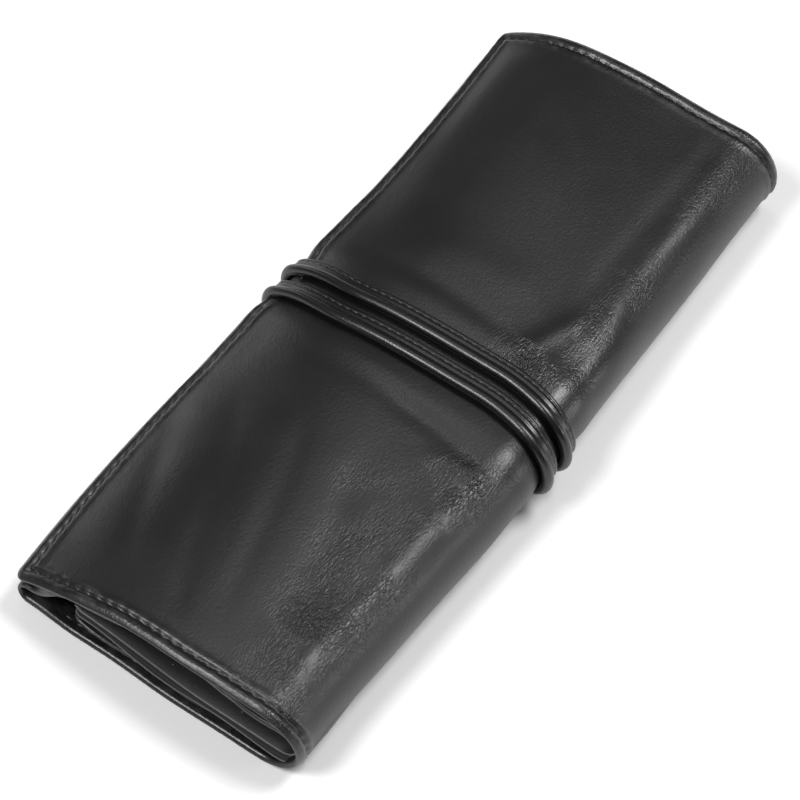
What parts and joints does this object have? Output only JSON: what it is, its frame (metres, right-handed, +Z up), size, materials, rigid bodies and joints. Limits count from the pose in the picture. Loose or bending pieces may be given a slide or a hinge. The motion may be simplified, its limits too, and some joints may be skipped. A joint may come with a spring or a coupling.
{
  "type": "roll-up pencil case",
  "caption": "Roll-up pencil case of black imitation leather, rolled flat and tied with a narrow piped strap wound twice round its middle.",
  "frame": {"origin": "on the surface that the case rests on, under the middle of its bounding box", "axes": "+Y along the roll, +X from the flap's free edge towards the right fold, +Z up"},
  "size_m": [0.0961, 0.21, 0.0289],
  "materials": {
    "cover_leather": "semi-gloss imitation leather, fine creased grain, soft highlights along folds and hems",
    "strap_leather": "semi-gloss imitation leather, stretched smooth over its filler cord",
    "panel_leather": "matt thin imitation leather, cut edges slightly lighter",
    "lining_cloth": "plain fine black woven polyester",
    "sewing_thread": "black polyester sewing thread, faint sheen"
  },
  "bodies": {
    "case": {"cover_base": "cover_leather", "cover_left_fold": "cover_leather", "cover_second_leaf": "cover_leather", "cover_inner_fold": "cover_leather", "cover_third_leaf": "cover_leather", "lining_case": "lining_cloth", "pocket_panel": "panel_leather", "tip_guard": "panel_leather", "pocket_seam_1": "sewing_thread", "pocket_seam_2": "sewing_thread", "pocket_seam_3": "sewing_thread", "pocket_seam_4": "sewing_thread", "pocket_seam_5": "sewing_thread", "pocket_seam_6": "sewing_thread", "pocket_seam_7": "sewing_thread", "pocket_seam_8": "sewing_thread"},
    "spine": {"cover_spine": "cover_leather", "lining_spine": "lining_cloth", "spine_hem_thread_near": "sewing_thread", "spine_hem_thread_far": "sewing_thread"},
    "flap": {"cover_flap": "cover_leather", "lining_flap": "lining_cloth", "flap_hem_thread_near": "sewing_thread", "flap_hem_thread_far": "sewing_thread"},
    "lip": {"cover_lip": "cover_leather", "lining_lip": "lining_cloth", "lip_hem_thread": "sewing_thread", "strap_start": "strap_leather", "strap_thread_start": "sewing_thread"},
    "strap_bottom_1": {"strap_bottom_1": "strap_leather", "strap_thread_bottom_1": "sewing_thread"},
    "strap_right_1": {"strap_right_1": "strap_leather", "strap_thread_right_1": "sewing_thread"},
    "strap_crest_1": {"strap_crest_1": "strap_leather", "strap_thread_crest_1": "sewing_thread"},
    "strap_slope_1": {"strap_slope_1": "strap_leather", "strap_thread_slope_1": "sewing_thread"},
    "strap_bottom_2": {"strap_bottom_2": "strap_leather", "strap_thread_bottom_2": "sewing_thread"},
    "strap_right_2": {"strap_right_2": "strap_leather", "strap_thread_right_2": "sewing_thread"},
    "strap_crest_2": {"strap_crest_2": "strap_leather", "strap_thread_crest_2": "sewing_thread"},
    "strap_slope_2": {"strap_slope_2": "strap_leather", "strap_thread_slope_2": "sewing_thread"},
    "strap_tail": {"strap_tail": "strap_leather", "strap_thread_tail": "sewing_thread"}
  },
  "joints": [
    {"name": "spine_fold", "type": "hinge", "parent": "case", "child": "spine", "pos_m": [0.04131, 0, 0.00269], "axis": [0, 1, 0], "range_deg": [0, 90]},
    {"name": "flap_fold", "type": "hinge", "parent": "spine", "child": "flap", "pos_m": [0.04131, 0, 0.02231], "axis": [0, 1, 0], "range_deg": [0, 90]},
    {"name": "lip_fold", "type": "hinge", "parent": "flap", "child": "lip", "pos_m": [-0.017, 0, 0.024], "axis": [0, 1, 0], "range_deg": [0, 19]},
    {"name": "strap_bottom_1_bend", "type": "hinge", "parent": "lip", "child": "strap_bottom_1", "pos_m": [-0.04677, 0, 0.00721], "axis": [0, 1, 0], "range_deg": [0, 161], "deforming": ["strap_bottom_1", "strap_thread_bottom_1"]},
    {"name": "strap_right_1_bend", "type": "hinge", "parent": "strap_bottom_1", "child": "strap_right_1", "pos_m": [0.04363, 0, 0.00437], "axis": [0, 1, 0], "range_deg": [0, 90], "deforming": ["strap_right_1", "strap_thread_right_1"]},
    {"name": "strap_crest_1_bend", "type": "hinge", "parent": "strap_right_1", "child": "strap_crest_1", "pos_m": [0.04363, 0, 0.02463], "axis": [0, 1, 0], "range_deg": [0, 90], "deforming": ["strap_crest_1", "strap_thread_crest_1"]},
    {"name": "strap_slope_1_bend", "type": "hinge", "parent": "strap_crest_1", "child": "strap_slope_1", "pos_m": [-0.0173, 0, 0.02558], "axis": [0, 1, 0], "range_deg": [0, 24], "deforming": ["strap_slope_1", "strap_thread_slope_1"]},
    {"name": "strap_bottom_2_bend", "type": "hinge", "parent": "strap_slope_1", "child": "strap_bottom_2", "pos_m": [-0.04677, 0, 0.00705], "axis": [0, 1, 0], "range_deg": [0, 156], "deforming": ["strap_bottom_2", "strap_thread_bottom_2"]},
    {"name": "strap_right_2_bend", "type": "hinge", "parent": "strap_bottom_2", "child": "strap_right_2", "pos_m": [0.04363, 0, 0.00437], "axis": [0, 1, 0], "range_deg": [0, 90], "deforming": ["strap_right_2", "strap_thread_right_2"]},
    {"name": "strap_crest_2_bend", "type": "hinge", "parent": "strap_right_2", "child": "strap_crest_2", "pos_m": [0.04363, 0, 0.02463], "axis": [0, 1, 0], "range_deg": [0, 90], "deforming": ["strap_crest_2", "strap_thread_crest_2"]},
    {"name": "strap_slope_2_bend", "type": "hinge", "parent": "strap_crest_2", "child": "strap_slope_2", "pos_m": [-0.01731, 0, 0.0255], "axis": [0, 1, 0], "range_deg": [0, 24], "deforming": ["strap_slope_2", "strap_thread_slope_2"]},
    {"name": "strap_tail_bend", "type": "hinge", "parent": "strap_slope_2", "child": "strap_tail", "pos_m": [-0.04677, 0, 0.00689], "axis": [0, 1, 0], "range_deg": [0, 156], "deforming": ["strap_tail", "strap_thread_tail"]}
  ],
  "couplings": [
    {"joint": "flap_fold", "follows": "spine_fold", "ratio": 1},
    {"joint": "lip_fold", "follows": "spine_fold", "ratio": 0.21111},
    {"joint": "strap_bottom_1_bend", "follows": "spine_fold", "ratio": 1.7889},
    {"joint": "strap_right_1_bend", "follows": "spine_fold", "ratio": 1},
    {"joint": "strap_crest_1_bend", "follows": "spine_fold", "ratio": 1},
    {"joint": "strap_slope_1_bend", "follows": "spine_fold", "ratio": 0.26667},
    {"joint": "strap_bottom_2_bend", "follows": "spine_fold", "ratio": 1.7333},
    {"joint": "strap_right_2_bend", "follows": "spine_fold", "ratio": 1},
    {"joint": "strap_crest_2_bend", "follows": "spine_fold", "ratio": 1},
    {"joint": "strap_slope_2_bend", "follows": "spine_fold", "ratio": 0.26667},
    {"joint": "strap_tail_bend", "follows": "spine_fold", "ratio": 1.7333}
  ]
}
